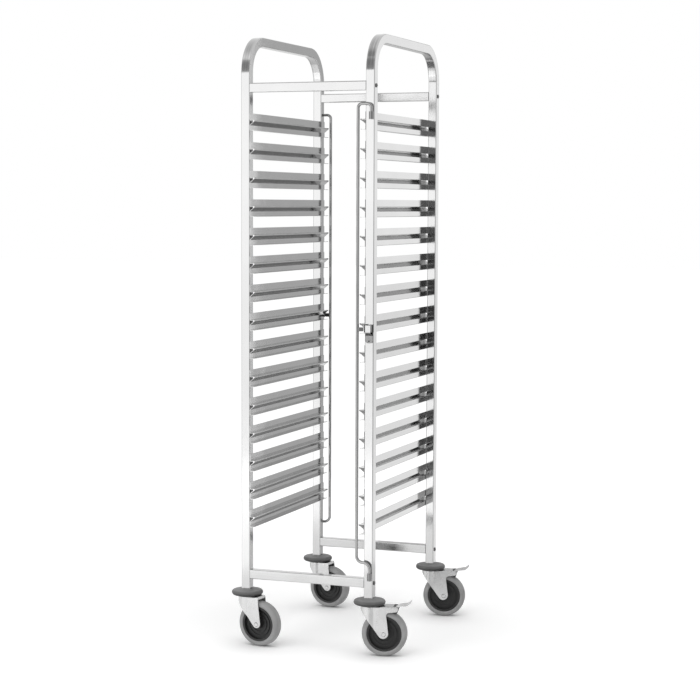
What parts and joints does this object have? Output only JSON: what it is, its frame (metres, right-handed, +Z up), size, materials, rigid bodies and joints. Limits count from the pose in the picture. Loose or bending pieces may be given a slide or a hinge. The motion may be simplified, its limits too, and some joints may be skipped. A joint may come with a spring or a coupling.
{
  "type": "gastronorm tray trolley",
  "caption": "Tall open trolley of square steel tube with folded tray runners on both sides, hinged lock rods at both ends, round bumpers and braked swivel castors.",
  "frame": {"origin": "on the floor, at the middle of the whole footprint of frame, bumpers, castors and pedals", "axes": "+X across the trolley towards the braked castors, +Y from the front to the back, +Z up"},
  "size_m": [0.5113, 0.6114, 1.65],
  "materials": {
    "stainless_steel": "satin polished stainless steel",
    "polished_rod": "polished round bar",
    "latch_steel": "pressed stainless sheet",
    "dark_bolts": "dark domed screws",
    "plug_plastic": "plain",
    "grey_rubber": "matt grey rubber",
    "zinc_plate": "bright zinc plate",
    "hub_plastic": "moulded, nearly black",
    "grey_tyre": "soft grey tread",
    "shoe_plastic": "plain"
  },
  "bodies": {
    "frame": {"side_frame_left": "stainless_steel", "side_frame_right": "stainless_steel", "crossbar_front_top": "stainless_steel", "crossbar_front_bottom": "stainless_steel", "crossbar_back_top": "stainless_steel", "crossbar_back_bottom": "stainless_steel", "crossbar_bolts": "dark_bolts", "tube_plugs": "plug_plastic", "rod_sockets": "polished_rod", "latch_brackets": "latch_steel", "latch_pins": "latch_steel", "runners_01": "stainless_steel", "runners_02": "stainless_steel", "runners_03": "stainless_steel", "runners_04": "stainless_steel", "runners_05": "stainless_steel", "runners_06": "stainless_steel", "runners_07": "stainless_steel", "runners_08": "stainless_steel", "runners_09": "stainless_steel", "runners_10": "stainless_steel", "runners_11": "stainless_steel", "runners_12": "stainless_steel", "runners_13": "stainless_steel", "runners_14": "stainless_steel", "runners_15": "stainless_steel", "castor_head_fl": "zinc_plate", "bumper_fl": "grey_rubber", "castor_head_fr": "zinc_plate", "bumper_fr": "grey_rubber", "castor_head_bl": "zinc_plate", "bumper_bl": "grey_rubber", "castor_head_br": "zinc_plate", "bumper_br": "grey_rubber"},
    "lock_rod_front": {"lock_rod_front": "polished_rod"},
    "latch_front": {"latch_lever_front": "latch_steel"},
    "lock_rod_back": {"lock_rod_back": "polished_rod"},
    "latch_back": {"latch_lever_back": "latch_steel"},
    "swivel_fl": {"castor_fork_fl": "zinc_plate", "castor_axle_fl": "zinc_plate"},
    "wheel_fl": {"wheel_hub_fl": "hub_plastic", "wheel_tyre_fl": "grey_tyre"},
    "swivel_fr": {"castor_fork_fr": "zinc_plate", "castor_axle_fr": "zinc_plate", "brake_pin_fr": "zinc_plate"},
    "wheel_fr": {"wheel_hub_fr": "hub_plastic", "wheel_tyre_fr": "grey_tyre"},
    "brake_fr": {"brake_pedal_fr": "zinc_plate", "brake_shoe_fr": "shoe_plastic"},
    "swivel_bl": {"castor_fork_bl": "zinc_plate", "castor_axle_bl": "zinc_plate"},
    "wheel_bl": {"wheel_hub_bl": "hub_plastic", "wheel_tyre_bl": "grey_tyre"},
    "swivel_br": {"castor_fork_br": "zinc_plate", "castor_axle_br": "zinc_plate", "brake_pin_br": "zinc_plate"},
    "wheel_br": {"wheel_hub_br": "hub_plastic", "wheel_tyre_br": "grey_tyre"},
    "brake_br": {"brake_pedal_br": "zinc_plate", "brake_shoe_br": "shoe_plastic"}
  },
  "joints": [
    {"name": "lock_rod_front_swing", "type": "hinge", "parent": "frame", "child": "lock_rod_front", "pos_m": [0.14809, -0.28248, 0.865], "axis": [0, 0, 1], "range_deg": [0, 170]},
    {"name": "latch_front_lift", "type": "hinge", "parent": "frame", "child": "latch_front", "pos_m": [0.14374, -0.28648, 0.879], "axis": [-1, 0, 0], "range_deg": [0, 15]},
    {"name": "lock_rod_back_swing", "type": "hinge", "parent": "frame", "child": "lock_rod_back", "pos_m": [-0.21891, 0.28152, 0.865], "axis": [0, 0, 1], "range_deg": [0, 170]},
    {"name": "latch_back_lift", "type": "hinge", "parent": "frame", "child": "latch_back", "pos_m": [-0.21456, 0.28552, 0.879], "axis": [1, 0, 0], "range_deg": [0, 15]},
    {"name": "swivel_fl", "type": "hinge", "parent": "frame", "child": "swivel_fl", "pos_m": [-0.21291, -0.26298, 0.136], "axis": [0, 0, 1], "continuous": true},
    {"name": "wheel_fl_roll", "type": "hinge", "parent": "swivel_fl", "child": "wheel_fl", "pos_m": [-0.17231, -0.26869, 0.061], "axis": [0.1392, 0.9903, 0], "continuous": true},
    {"name": "swivel_fr", "type": "hinge", "parent": "frame", "child": "swivel_fr", "pos_m": [0.14209, -0.26298, 0.136], "axis": [0, 0, 1], "continuous": true},
    {"name": "wheel_fr_roll", "type": "hinge", "parent": "swivel_fr", "child": "wheel_fr", "pos_m": [0.18219, -0.25446, 0.061], "axis": [-0.2079, 0.9781, 0], "continuous": true},
    {"name": "brake_fr_press", "type": "hinge", "parent": "swivel_fr", "child": "brake_fr", "pos_m": [0.21252, -0.24801, 0.129], "axis": [-0.2079, 0.9781, 0], "range_deg": [0, 24]},
    {"name": "swivel_bl", "type": "hinge", "parent": "frame", "child": "swivel_bl", "pos_m": [-0.21291, 0.26202, 0.136], "axis": [0, 0, 1], "continuous": true},
    {"name": "wheel_bl_roll", "type": "hinge", "parent": "swivel_bl", "child": "wheel_bl", "pos_m": [-0.17207, 0.25845, 0.061], "axis": [0.0872, 0.9962, 0], "continuous": true},
    {"name": "swivel_br", "type": "hinge", "parent": "frame", "child": "swivel_br", "pos_m": [0.14209, 0.26202, 0.136], "axis": [0, 0, 1], "continuous": true},
    {"name": "wheel_br_roll", "type": "hinge", "parent": "swivel_br", "child": "wheel_br", "pos_m": [0.18204, 0.27124, 0.061], "axis": [-0.225, 0.9744, 0], "continuous": true},
    {"name": "brake_br_press", "type": "hinge", "parent": "swivel_br", "child": "brake_br", "pos_m": [0.21224, 0.27822, 0.129], "axis": [-0.225, 0.9744, 0], "range_deg": [0, 24]}
  ]
}
